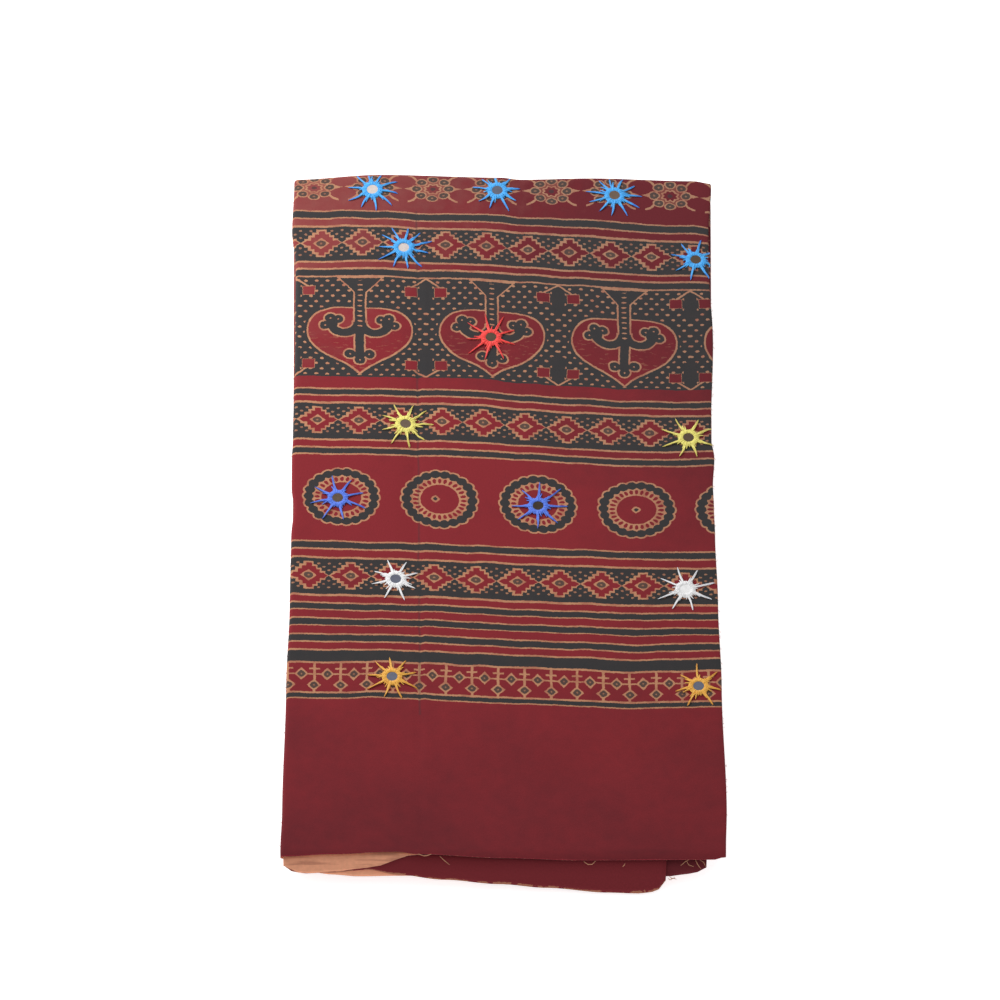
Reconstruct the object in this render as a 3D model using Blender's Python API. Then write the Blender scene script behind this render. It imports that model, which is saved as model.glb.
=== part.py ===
"""Ajrakh cloth: a block-printed cotton length with mirror work, folded flat in sixteen layers.

The cloth is folded in four along its length, then back and forth in four across it. Every point of the
flat cloth goes through the same two folds, so the layers stay one continuous sheet. The mirrors and their
thread rosettes are shaped flat and laid on the top layer with the same folds.

Metres, +Z up. +X is to the right of the printed face, +Y runs from the hem to the back fold.
"""
import math

import bmesh
import bpy
from mathutils import Matrix, Vector
from mathutils.bvhtree import BVHTree

MM = 0.001

# Driving sizes of the folded stack
SHEET = 1.0 * MM
PLY_PITCH = 1.4 * MM
PLIES = 4
STRIPS = 4
STRIP_PITCH = PLIES * PLY_PITCH
TOP_LENGTH = 555.0 * MM
FRONT_FOLD_SETBACK = 2.0 * MM
LOWER_BACK_SETBACK = 1.5 * MM
TAIL_SETBACK = 9.0 * MM

# The front end of the top strip droops over the stack
DROOP_RADIUS = 18.0 * MM
DROOP_ANGLE = math.radians(50)

# Where the two selvedges end, short of the right-hand fold
INNER_SELVEDGE_SHORT = 38.0 * MM
OUTER_SELVEDGE_SHORT = 11.5 * MM

# Spans along each stretch of the cloth; the face has columns of its own, below
SPANS_ACROSS = {
    "under": 5,
    "outer_turn": 6,
    "face": None,
    "right_turn": 5,
    "back": 5,
    "inner_turn": 5,
    "flap": 5,
}
SPANS_ALONG = {"droop": 7, "strip_1": 18, "strip_2": 3, "strip_3": 3, "strip_4": 3}
SPANS_PER_TURN = 6

# Columns of the top layer, closer together beside its long crease
FACE_COLUMNS_MM = [
    -122.0, -100.0, -84.0, -72.0, -64.0, -57.0, -50.0, -38.0, -14.0, 12.0, 38.0, 64.0, 92.0, 122.0,
]

# Mirror work
SEAT = 0.4 * MM
MIRROR_RADIUS = 3.8 * MM
MIRROR_THICK = 0.8 * MM
MIRROR_SIDES = 14
RING_OPENING = 4.1 * MM
RING_CREST = 5.8 * MM
RING_EDGE = 8.0 * MM
CREST_HEIGHT = 1.5 * MM
EDGE_HEIGHT = 0.8 * MM
RAY_TIP_HEIGHT = 0.5 * MM
RAY_TIP_HALF = 0.6 * MM
STATIONS_PER_RAY = 3
EDGE_MARGIN = 2.0 * MM
BACK_TURN_REACH = 2.0 * MM

# Edges of the folded strip: distance along the cloth from the start of the droop, left and right edge
EDGES_MM = [
    # along, left, right
    (-30.0, -146.0, 146.2),
    (0.0, -146.7, 146.9),
    (32.0, -145.7, 147.6),
    (132.0, -143.7, 144.9),
    (202.0, -141.7, 142.9),
    (257.0, -141.1, 141.3),
    (281.0, -139.5, 140.7),
    (299.0, -141.0, 140.1),
    (322.0, -141.0, 141.2),
    (340.0, -140.4, 139.0),
    (420.0, -139.3, 140.9),
    (486.0, -139.3, 138.3),
    (514.0, -142.0, 138.2),
    (555.0, -140.8, 140.4),
    (564.0, -140.8, 140.0),
    (840.0, -140.0, 139.4),
    (1117.0, -142.2, 134.0),
    (1126.0, -142.2, 134.0),
    (1400.0, -140.2, 137.6),
    (1678.0, -140.6, 138.6),
    (1687.0, -140.6, 138.6),
    (1960.0, -139.8, 137.0),
    (2232.0, -141.6, 133.0),
]

# How far each ply reaches past the start of the droop, by its place across the cloth
FACE_HEM_MM = [
    # across, reach
    (-146.0, 5.3), (-112.0, 3.8), (-70.0, 2.2), (-56.0, 3.8), (0.0, 6.2), (50.0, 7.6), (139.0, 7.2),
    (147.0, 5.3),
]
BACK_HEM_MM = [
    # across, reach
    (-146.0, 11.0), (-143.6, 11.0), (-139.5, 14.4), (-131.0, 15.8), (-112.0, 14.4), (-89.0, 12.0),
    (-56.0, 3.2), (0.0, 4.0), (139.0, 6.0), (147.0, 5.3),
]
FLAP_HEM_MM = [
    # across, reach
    (-146.0, 11.0), (-143.6, 11.0), (-139.5, 14.4), (-131.0, 15.9), (-112.0, 15.1), (-89.0, 13.4),
    (-70.0, 16.7), (-39.0, 20.2), (-2.0, 23.2), (29.0, 25.7), (69.0, 28.9), (90.0, 29.5), (97.0, 28.9),
    (103.0, 26.8), (106.5, 23.6), (108.5, 19.0),
]
UNDER_HEM_MM = [
    # across, reach
    (-146.0, 5.3), (-138.0, 12.0), (-115.0, 17.0), (-95.0, 18.4), (-70.0, 18.0), (108.0, 18.4),
    (124.0, 16.6), (131.0, 15.0), (136.0, 10.5),
]

# The back fold runs a little askew: shift towards the back, by place across the cloth
BACK_LINE_MM = [
    # across, shift
    (-141.0, -1.0), (-83.0, 3.2), (-2.0, 0.8), (12.0, -1.0), (60.0, 0.2), (128.0, -2.2), (141.0, -4.6),
]
BACK_LINE_START = 430.0 * MM

# Soft swells and creases of the stack, from the start of the droop
SWELLS_MM = [
    # across, along, half length, half width, turn in degrees, rise
    (-57.0, 315.0, 85.0, 9.0, 88.0, -1.0),
    (-84.0, 330.0, 95.0, 18.0, 88.0, 0.7),
    (-62.0, 505.0, 60.0, 34.0, 15.0, 0.9),
    (96.0, 470.0, 70.0, 30.0, 100.0, -0.6),
    (86.0, 300.0, 120.0, 34.0, 80.0, 0.8),
    (10.0, 150.0, 110.0, 30.0, 170.0, 0.6),
    (70.0, 70.0, 90.0, 22.0, 20.0, -0.7),
    (-100.0, 60.0, 60.0, 26.0, 120.0, 0.5),
]

# Mirror work: place across, place along, rays, turn of the first ray, reach of the rays, thread
MIRRORS_MM = [
    # across, along, rays, turn in degrees, reach, thread
    (-88.0, 544.4, 10, 27.0, 17.0, "azure"),
    (-3.8, 545.9, 9, 14.0, 16.0, "azure"),
    (75.2, 542.8, 11, 3.0, 17.0, "azure"),
    (-66.8, 495.9, 11, 17.0, 17.5, "azure"),
    (129.6, 489.0, 8, 34.0, 17.0, "azure"),
    (-8.0, 422.3, 9, 20.0, 18.0, "scarlet"),
    (-65.1, 349.5, 9, 36.0, 17.5, "lemon"),
    (123.9, 337.7, 8, 25.0, 17.5, "lemon"),
    (-110.2, 287.6, 8, 16.0, 18.5, "royal"),
    (23.4, 280.9, 8, 43.0, 18.5, "royal"),
    (-71.3, 220.1, 8, 17.0, 16.5, "white"),
    (121.3, 211.8, 8, 20.0, 18.0, "white"),
    (-73.5, 139.6, 9, 12.0, 17.0, "amber"),
    (129.5, 131.8, 7, 43.0, 17.0, "amber"),
]
THREADS = {
    "azure": (0.055, 0.42, 0.86),
    "scarlet": (0.90, 0.05, 0.045),
    "lemon": (0.81, 0.80, 0.14),
    "royal": (0.07, 0.16, 0.75),
    "white": (0.88, 0.88, 0.90),
    "amber": (0.87, 0.42, 0.05),
}

# Worked out from the driving sizes
HALF_SHEET = SHEET / 2
TURN_RADIUS = STRIP_PITCH / 2
TURN_LENGTH = math.pi * TURN_RADIUS
OUTER_TURN = 1.5 * PLY_PITCH
INNER_TURN = 0.5 * PLY_PITCH
STACK_HEIGHT = STRIPS * STRIP_PITCH - (PLY_PITCH - SHEET)
STRIP_CENTRES = [STACK_HEIGHT - OUTER_TURN - HALF_SHEET - k * STRIP_PITCH for k in range(STRIPS)]
LOWER_BACK_Y = TOP_LENGTH - LOWER_BACK_SETBACK
STRETCHES = [
    TOP_LENGTH,
    TURN_LENGTH,
    TOP_LENGTH - FRONT_FOLD_SETBACK,
    TURN_LENGTH,
    LOWER_BACK_Y - FRONT_FOLD_SETBACK,
    TURN_LENGTH,
    LOWER_BACK_Y - TAIL_SETBACK,
]


def soft_step(t):
    """A smooth rise from 0 to 1."""
    t = min(max(t, 0.0), 1.0)
    return t * t * (3.0 - 2.0 * t)


def read_table(table, at, column=1):
    """The value of a column, in metres, eased between the rows of a table in millimetres."""
    at = at / MM
    if at <= table[0][0]:
        return table[0][column] * MM
    for low, high in zip(table, table[1:]):
        if at <= high[0]:
            share = soft_step((at - low[0]) / (high[0] - low[0]))
            return (low[column] + share * (high[column] - low[column])) * MM
    return table[-1][column] * MM


def fold_centres(along):
    """Where the lengthwise folds turn, left and right, at a place along the cloth."""
    left = read_table(EDGES_MM, along, 1) + OUTER_TURN + HALF_SHEET
    right = read_table(EDGES_MM, along, 2) - INNER_TURN - HALF_SHEET
    return left, right


def fold_lengthwise(stretch, share, along, out):
    """A point of the quarter fold: its place across, and its height in the strip."""
    left, right = fold_centres(along)
    turn = math.pi * share
    if stretch == "under":
        start = right - OUTER_SELVEDGE_SHORT
        return start + share * (left - start), -OUTER_TURN - out
    if stretch == "outer_turn":
        radius = OUTER_TURN + out
        return left - radius * math.sin(turn), -radius * math.cos(turn)
    if stretch == "face":
        return left + share * (right - left), OUTER_TURN + out
    if stretch == "right_turn":
        radius = INNER_TURN + out
        return right + radius * math.sin(turn), PLY_PITCH + radius * math.cos(turn)
    if stretch == "back":
        return right + share * (left - right), INNER_TURN - out
    if stretch == "inner_turn":
        radius = INNER_TURN - out
        return left - radius * math.sin(turn), radius * math.cos(turn)
    end = right - INNER_SELVEDGE_SHORT
    return left + share * (end - left), -INNER_TURN + out


def fold_crosswise(along, height):
    """A point of the back-and-forth fold: its place from front to back, and its height."""
    if along < 0.0:
        angle = min(-along / DROOP_RADIUS, DROOP_ANGLE)
        straight = max(-along - DROOP_RADIUS * DROOP_ANGLE, 0.0)
        radius = DROOP_RADIUS + height
        y = -radius * math.sin(angle) - straight * math.cos(angle)
        z = STRIP_CENTRES[0] - DROOP_RADIUS + radius * math.cos(angle) - straight * math.sin(angle)
        return y, z
    part = 0
    while part < len(STRETCHES) - 1 and along > STRETCHES[part]:
        along -= STRETCHES[part]
        part += 1
    strip = part // 2
    facing_up = 1 if strip % 2 == 0 else -1
    back_y = TOP_LENGTH if strip == 0 else LOWER_BACK_Y
    if part % 2 == 0:
        start = (0.0, TOP_LENGTH, FRONT_FOLD_SETBACK, LOWER_BACK_Y)[strip]
        return start + facing_up * along, STRIP_CENTRES[strip] + facing_up * height
    centre_z = (STRIP_CENTRES[strip] + STRIP_CENTRES[strip + 1]) / 2
    radius = TURN_RADIUS + facing_up * height
    angle = along / TURN_RADIUS
    centre_y = back_y if facing_up == 1 else FRONT_FOLD_SETBACK
    return centre_y + facing_up * radius * math.sin(angle), centre_z + radius * math.cos(angle)


def swell(x, y):
    """How much taller the stack stands here, as a share of its height."""
    rise = 0.0
    for across, along, half_length, half_width, turn, height in SWELLS_MM:
        dx = x / MM - across
        dy = y / MM - along
        cos_t = math.cos(math.radians(turn))
        sin_t = math.sin(math.radians(turn))
        lengthwise = (dx * cos_t + dy * sin_t) / half_length
        sideways = (dy * cos_t - dx * sin_t) / half_width
        rise += height * math.exp(-lengthwise * lengthwise - sideways * sideways)
    return 1.0 + rise * MM / STACK_HEIGHT


def settle(x, y, z):
    """The uneven back line and the soft swells, on a point of the evenly folded stack."""
    share = soft_step((y - BACK_LINE_START) / (TOP_LENGTH - BACK_LINE_START))
    y += share * read_table(BACK_LINE_MM, x)
    return Vector((x, y, z * swell(x, y)))


def place(stretch, share, along, out):
    """Folds a point of the flat cloth into the stack. Out is the distance from the mid sheet to its face."""
    x, height = fold_lengthwise(stretch, share, along, out)
    y, z = fold_crosswise(along, height)
    return settle(x, y, z)


def hem_reach(stretch, x):
    """How far the cloth reaches past the start of the droop, at a point across it."""
    tables = {"under": UNDER_HEM_MM, "face": FACE_HEM_MM, "back": BACK_HEM_MM, "flap": FLAP_HEM_MM}
    if stretch in tables:
        return read_table(tables[stretch], x)
    turns = {"outer_turn": FACE_HEM_MM[0], "right_turn": FACE_HEM_MM[-1], "inner_turn": FLAP_HEM_MM[0]}
    return turns[stretch][1] * MM


def stations_across():
    """The columns of the cloth from one selvedge to the other."""
    left, right = fold_centres(0.0)
    columns = []
    for stretch, spans in SPANS_ACROSS.items():
        first = 0 if not columns else 1
        if stretch == "face":
            shares = [(x * MM - left) / (right - left) for x in FACE_COLUMNS_MM] + [1.0]
        else:
            shares = [k / spans for k in range(first, spans + 1)]
        columns += [(stretch, share) for share in shares]
    return columns


def stations_along():
    """The rows of the cloth: the droop as shares of its reach, then distances from its start."""
    rows = []
    start = 0.0
    for part, length in enumerate(STRETCHES):
        spans = SPANS_PER_TURN if part % 2 else SPANS_ALONG[f"strip_{part // 2 + 1}"]
        rows += [start + length * k / spans for k in range(spans)]
        start += length
    return rows + [start]


def new_object(name, bm, material, smooth_angle=math.radians(40)):
    """Writes a bmesh to an object with its material."""
    bmesh.ops.recalc_face_normals(bm, faces=bm.faces[:])
    mesh = bpy.data.meshes.new(name)
    bm.to_mesh(mesh)
    bm.free()
    mesh.shade_smooth()
    mesh.set_sharp_from_angle(angle=smooth_angle)
    mesh.materials.append(material)
    obj = bpy.data.objects.new(name, mesh)
    bpy.context.scene.collection.objects.link(obj)
    return obj


def new_material(name, colour, roughness, metallic=0.0):
    """A Principled material."""
    material = bpy.data.materials.new(name)
    material.use_nodes = True
    shader = material.node_tree.nodes["Principled BSDF"]
    shader.inputs["Base Color"].default_value = (*colour, 1.0)
    shader.inputs["Roughness"].default_value = roughness
    shader.inputs["Metallic"].default_value = metallic
    return material


def make_cloth():
    """The cloth: a flat slab of columns and rows, folded point by point."""
    columns = stations_across()
    rows = stations_along()
    droop = SPANS_ALONG["droop"]
    across = len(columns) - 1
    along = droop + len(rows) - 1
    bm = bmesh.new()
    bmesh.ops.create_grid(bm, x_segments=across, y_segments=along, size=0.5)
    for vert in bm.verts:
        vert.co.z = -HALF_SHEET
    face_side = bmesh.ops.extrude_face_region(bm, geom=bm.faces[:])["geom"]
    for vert in face_side:
        if isinstance(vert, bmesh.types.BMVert):
            vert.co.z = HALF_SHEET
    for vert in bm.verts:
        stretch, share = columns[round((vert.co.x + 0.5) * across)]
        row = round((vert.co.y + 0.5) * along) - droop
        if row < 0:
            x, _ = fold_lengthwise(stretch, share, 0.0, 0.0)
            distance = hem_reach(stretch, x) * row / droop
        else:
            distance = rows[row]
        vert.co = place(stretch, share, distance, vert.co.z)
    return new_object("cloth", bm, new_material("madder_cotton", (0.19, 0.025, 0.035), 0.85))


def lay_on_face(bm, across, along, surface):
    """Lays a flat shape, seen from above, on the top layer round its own centre, just clear of the cloth."""
    outer_radius = TURN_RADIUS + OUTER_TURN + HALF_SHEET
    for vert in bm.verts:
        x = across + vert.co.x
        distance = along + vert.co.y
        if distance > TOP_LENGTH:
            distance = TOP_LENGTH + (distance - TOP_LENGTH) * TURN_RADIUS / outer_radius
        left, right = fold_centres(distance)
        share = (x - left) / (right - left)
        height = SEAT + vert.co.z
        vert.co = place("face", share, distance, HALF_SHEET + height)
        if distance < TOP_LENGTH:
            above = Vector((vert.co.x, vert.co.y, 2 * STACK_HEIGHT))
            hit, _, _, _ = surface.ray_cast(above, Vector((0, 0, -1)))
            vert.co.z = hit.z + height


def make_mirror(name, across, along, surface, material):
    """One round mirror, cut flat."""
    bm = bmesh.new()
    bmesh.ops.create_circle(bm, cap_ends=True, radius=MIRROR_RADIUS, segments=MIRROR_SIDES)
    top = bmesh.ops.extrude_face_region(bm, geom=bm.faces[:])["geom"]
    top = [vert for vert in top if isinstance(vert, bmesh.types.BMVert)]
    bmesh.ops.translate(bm, vec=(0, 0, MIRROR_THICK), verts=top)
    lay_on_face(bm, across, along, surface)
    return new_object(name, bm, material)


def ray_reach(across, along, angle, reach):
    """The reach of one ray, drawn in where it would pass the right-hand fold or the back turn."""
    right = read_table(EDGES_MM, along, 2) - EDGE_MARGIN
    if math.cos(angle) > 0:
        reach = min(reach, (right - across) / math.cos(angle))
    if math.sin(angle) > 0:
        reach = min(reach, (TOP_LENGTH + BACK_TURN_REACH - along) / math.sin(angle))
    return max(reach, RING_EDGE * 1.08)


def make_rosette(name, across, along, surface, rays, turn, reach, material):
    """One stitched ring with its rays."""
    sides = rays * STATIONS_PER_RAY
    bm = bmesh.new()
    bmesh.ops.create_circle(bm, cap_ends=True, radius=RING_EDGE, segments=sides)
    disc = bm.faces[:][0]
    for radius in (RING_CREST, RING_OPENING):
        before = set(bm.verts)
        bmesh.ops.inset_individual(bm, faces=[disc], thickness=0.5 * MM)
        for vert in set(bm.verts) - before:
            vert.co = vert.co.normalized() * radius
    bmesh.ops.delete(bm, geom=[disc], context="FACES_ONLY")
    raised = bmesh.ops.extrude_face_region(bm, geom=bm.faces[:])["geom"]
    heights = {RING_EDGE: EDGE_HEIGHT, RING_CREST: CREST_HEIGHT, RING_OPENING: EDGE_HEIGHT}
    for vert in raised:
        if isinstance(vert, bmesh.types.BMVert):
            nearest = min(heights, key=lambda radius: abs(radius - vert.co.length))
            vert.co.z = heights[nearest]
    rim = []
    for face in bm.faces:
        if all(abs(vert.co.xy.length - RING_EDGE) < 0.1 * MM for vert in face.verts):
            rim.append(face)
    rim.sort(key=lambda face: math.atan2(face.calc_center_median().y, face.calc_center_median().x) % math.tau)
    tips = bmesh.ops.extrude_discrete_faces(bm, faces=rim[::STATIONS_PER_RAY])["faces"]
    start = math.radians(turn)
    bmesh.ops.rotate(bm, verts=bm.verts[:], cent=(0, 0, 0), matrix=Matrix.Rotation(start, 3, "Z"))
    for tip in tips:
        centre = tip.calc_center_median()
        angle = math.atan2(centre.y, centre.x)
        out = Vector((math.cos(angle), math.sin(angle), 0))
        side = Vector((-out.y, out.x, 0))
        length = ray_reach(across, along, angle, reach)
        for vert in tip.verts:
            half = math.copysign(RAY_TIP_HALF, vert.co.dot(side))
            height = RAY_TIP_HEIGHT if vert.co.z > centre.z else 0.0
            vert.co = out * length + side * half + Vector((0, 0, height))
    lay_on_face(bm, across, along, surface)
    return new_object(name, bm, material)


def centre_on_origin(objects):
    """Moves the meshes so that the whole stands centred on the origin, on z = 0."""
    points = [vert.co for obj in objects for vert in obj.data.vertices]
    middle_x = (min(p.x for p in points) + max(p.x for p in points)) / 2
    middle_y = (min(p.y for p in points) + max(p.y for p in points)) / 2
    for obj in objects:
        for vert in obj.data.vertices:
            vert.co -= Vector((middle_x, middle_y, 0))


def main():
    for obj in list(bpy.data.objects):
        bpy.data.objects.remove(obj, do_unlink=True)
    glass = new_material("silvered_glass", (0.55, 0.52, 0.50), 0.12, metallic=0.9)
    cloth = make_cloth()
    corners = [vert.co for vert in cloth.data.vertices]
    surface = BVHTree.FromPolygons(corners, [face.vertices[:] for face in cloth.data.polygons])
    pieces = [cloth]
    for number, (across, along, rays, turn, reach, thread) in enumerate(MIRRORS_MM, start=1):
        floss = new_material(f"floss_{number:02d}", THREADS[thread], 0.6)
        place_at = (across * MM, along * MM, surface)
        pieces.append(make_mirror(f"mirror_{number:02d}", *place_at, glass))
        pieces.append(make_rosette(f"rosette_{number:02d}", *place_at, rays, turn, reach * MM, floss))
    centre_on_origin(pieces)


main()
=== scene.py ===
"""Looks of the ajrakh cloth: a folded, block-printed cotton length with mirror work.

The cloth goes through the same two folds as its solid: in four along its length, then back and forth in
four across it. Its print is worked out from the place of each point on the flat cloth, in millimetres.
"""
import math
import random
from functools import partial, partialmethod

import bmesh
import bpy
from bpy.props import FloatProperty, FloatVectorProperty, IntProperty, PointerProperty
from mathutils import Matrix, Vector, noise


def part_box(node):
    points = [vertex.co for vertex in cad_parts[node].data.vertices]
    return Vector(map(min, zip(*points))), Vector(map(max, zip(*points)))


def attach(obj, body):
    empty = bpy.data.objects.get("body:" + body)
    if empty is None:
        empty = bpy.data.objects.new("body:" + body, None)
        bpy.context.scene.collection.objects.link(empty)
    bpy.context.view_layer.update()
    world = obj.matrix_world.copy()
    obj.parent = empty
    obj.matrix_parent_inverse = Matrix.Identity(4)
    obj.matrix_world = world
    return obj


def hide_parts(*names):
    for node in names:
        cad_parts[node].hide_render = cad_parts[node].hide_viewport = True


bl_info = {
    "name": "Folded ajrakh cloth",
    "version": (1, 0, 0),
    "blender": (4, 5, 0),
    "location": "View3D > Sidebar > Ajrakh",
    "description": "Folds a block-printed cotton length, prints it and sews on its mirrors",
    "category": "Object",
}

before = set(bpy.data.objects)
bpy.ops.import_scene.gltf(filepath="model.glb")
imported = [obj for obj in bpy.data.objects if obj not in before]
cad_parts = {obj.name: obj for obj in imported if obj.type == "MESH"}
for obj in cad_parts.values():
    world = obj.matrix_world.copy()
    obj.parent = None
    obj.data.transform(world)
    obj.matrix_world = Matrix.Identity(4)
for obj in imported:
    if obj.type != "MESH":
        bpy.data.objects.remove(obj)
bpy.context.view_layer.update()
CLOTH_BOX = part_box("cloth")
MM = 0.001

# The folded stack, as its solid has it
SOLID_HALF = 0.5 * MM
PLY_PITCH = 1.4 * MM
STRIP_PITCH = 4 * PLY_PITCH
STRIPS = 4
TOP_LENGTH = 555.0 * MM
FRONT_FOLD_Y = 2.0 * MM
LOWER_BACK_Y = TOP_LENGTH - 1.5 * MM
TAIL_Y = 9.0 * MM
DROOP_RADIUS = 18.0 * MM
DROOP_ANGLE = math.radians(50)
INNER_SELVEDGE_SHORT = 38.0 * MM
OUTER_SELVEDGE_SHORT = 11.5 * MM
TURN_RADIUS = STRIP_PITCH / 2
TURN_LENGTH = math.pi * TURN_RADIUS
OUTER_TURN = 1.5 * PLY_PITCH
INNER_TURN = 0.5 * PLY_PITCH
TOP_OUT = OUTER_TURN + SOLID_HALF
STACK_HEIGHT = STRIPS * STRIP_PITCH - (PLY_PITCH - 2 * SOLID_HALF)
STRIP_CENTRES = [STACK_HEIGHT - TOP_OUT - k * STRIP_PITCH for k in range(STRIPS)]
STRETCHES = [
    TOP_LENGTH, TURN_LENGTH, TOP_LENGTH - FRONT_FOLD_Y, TURN_LENGTH, LOWER_BACK_Y - FRONT_FOLD_Y,
    TURN_LENGTH, LOWER_BACK_Y - TAIL_Y,
]

# Loose fibres, and yarn ends so many fibres thick, with how far both lie off the cloth and the ground
FIBRE_WIDTH = 0.3 * MM
FIBRE_LIFT = 0.1 * MM
YARN_THICK = 1.9
YARN_LIFT = 0.3 * MM
YARN_LOW = 0.4 * MM

# Edges of the folded strip, by distance along the cloth
EDGES_MM = [
    # along, left, right
    (-30.0, -146.0, 146.2), (0.0, -146.7, 146.9), (32.0, -145.7, 147.6), (132.0, -143.7, 144.9),
    (202.0, -141.7, 142.9), (257.0, -141.1, 141.3), (281.0, -139.5, 140.7), (299.0, -141.0, 140.1),
    (322.0, -141.0, 141.2), (340.0, -140.4, 139.0), (420.0, -139.3, 140.9), (486.0, -139.3, 138.3),
    (514.0, -142.0, 138.2), (555.0, -140.8, 140.4), (564.0, -140.8, 140.0), (840.0, -140.0, 139.4),
    (1117.0, -142.2, 134.0), (1126.0, -142.2, 134.0), (1400.0, -140.2, 137.6), (1678.0, -140.6, 138.6),
    (1687.0, -140.6, 138.6), (1960.0, -139.8, 137.0), (2232.0, -141.6, 133.0),
]

# Reach of each layer past the start of the droop, by place across
FACE_HEM_MM = [
    # across, reach
    (-146.0, 5.3), (-112.0, 3.8), (-70.0, 2.2), (-56.0, 3.8), (0.0, 6.2), (50.0, 7.6), (139.0, 7.2),
    (147.0, 5.3),
]
BACK_HEM_MM = [
    # across, reach
    (-146.0, 11.0), (-143.6, 11.0), (-139.5, 14.4), (-131.0, 15.8), (-112.0, 14.4), (-89.0, 12.0),
    (-56.0, 3.2), (0.0, 4.0), (139.0, 6.0), (147.0, 5.3),
]
FLAP_HEM_MM = [
    # across, reach
    (-146.0, 11.0), (-143.6, 11.0), (-139.5, 14.4), (-131.0, 15.9), (-112.0, 15.1), (-89.0, 13.4),
    (-70.0, 16.7), (-39.0, 20.2), (-2.0, 23.2), (29.0, 25.7), (69.0, 28.9), (90.0, 29.5), (97.0, 28.9),
    (103.0, 26.8), (106.5, 23.6), (108.5, 19.0),
]
UNDER_HEM_MM = [
    # across, reach
    (-146.0, 5.3), (-138.0, 12.0), (-115.0, 17.0), (-95.0, 18.4), (-70.0, 18.0), (108.0, 18.4),
    (124.0, 16.6), (131.0, 15.0), (136.0, 10.5),
]
BACK_LINE_MM = [
    # across, shift
    (-141.0, -1.0), (-83.0, 3.2), (-2.0, 0.8), (12.0, -1.0), (60.0, 0.2), (128.0, -2.2), (141.0, -4.6),
]
BACK_LINE_START = 430.0 * MM
SWELLS_MM = [
    # across, along, half length, half width, turn in degrees, rise
    (-57.0, 315.0, 85.0, 9.0, 88.0, -1.0),
    (-84.0, 330.0, 95.0, 18.0, 88.0, 0.7),
    (-62.0, 505.0, 60.0, 34.0, 15.0, 0.9),
    (96.0, 470.0, 70.0, 30.0, 100.0, -0.6),
    (86.0, 300.0, 120.0, 34.0, 80.0, 0.8),
    (10.0, 150.0, 110.0, 30.0, 170.0, 0.6),
    (70.0, 70.0, 90.0, 22.0, 20.0, -0.7),
    (-100.0, 60.0, 60.0, 26.0, 120.0, 0.5),
]

# Sharp lengthwise creases left by an older folding
CREASES_MM = [
    # across at the hem, lean, half width, rise
    (-54.0, -0.008, 1.4, -0.75),
    (-51.2, -0.008, 2.2, 0.4),
    (62.0, 0.004, 2.4, -0.16),
]

# How far the printed lines sink below square, by place across and by distance from the hem
DRIFT_MM = [
    # across, then the drift at each distance
    (-140.0, 1.7, 1.7, 2.5, 1.7, 1.7, -0.8, -0.8),
    (-115.0, 2.6, 2.8, 3.1, 2.7, 2.3, 0.7, 0.2),
    (-85.0, 1.6, 4.2, 4.4, 3.8, 2.9, 3.8, 2.6),
    (-55.0, 3.4, 4.5, 4.5, 3.5, 4.8, 5.4, 4.4),
    (-20.0, 5.7, 6.4, 6.3, 4.4, 4.7, 4.7, 3.6),
    (15.0, 7.7, 8.8, 8.4, 8.8, 7.0, 5.2, 3.2),
    (50.0, 9.0, 10.4, 11.4, 11.3, 9.6, 7.0, 3.2),
    (85.0, 11.3, 12.1, 13.8, 14.1, 12.1, 9.5, 5.2),
    (115.0, 10.2, 11.8, 13.5, 15.0, 13.0, 10.6, 5.8),
    (140.0, 9.1, 11.6, 12.5, 13.8, 13.0, 10.9, 6.0),
]
DRIFT_AT_MM = (135.0, 215.0, 290.0, 380.0, 490.0, 535.0, 562.0)

# Yarn ends at the front hems: how far under the top layer each lies, then its points
YARN_ENDS_MM = [
    # depth, then (across, past the start of the droop)
    (0.0, (-56.1, 4.0), (-52.1, 5.2), (-50.0, 5.0), (-47.3, 4.0)),
    (2.0, (-41.7, 4.6), (-39.3, 7.0), (-35.3, 10.3)),
    (1.0, (53.1, 8.3), (55.9, 10.1), (58.7, 10.1), (61.0, 8.0)),
    (1.0, (78.8, 11.6), (79.9, 10.6), (80.4, 9.6)),
    (3.4, (117.1, 10.9), (120.1, 8.0), (123.0, 6.2), (126.6, 6.5)),
    (3.4, (126.6, 6.5), (128.5, 10.3), (130.5, 12.9)),
    (3.4, (129.9, 7.0), (132.2, 8.4), (133.6, 11.4)),
    (3.4, (121.0, 7.6), (122.4, 10.2), (125.6, 11.4)),
    (3.4, (109.0, 19.6), (110.6, 20.6), (112.3, 19.4), (114.7, 20.2)),
    (3.4, (109.8, 18.0), (111.2, 19.4), (113.4, 19.8), (113.0, 18.4)),
]

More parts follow.
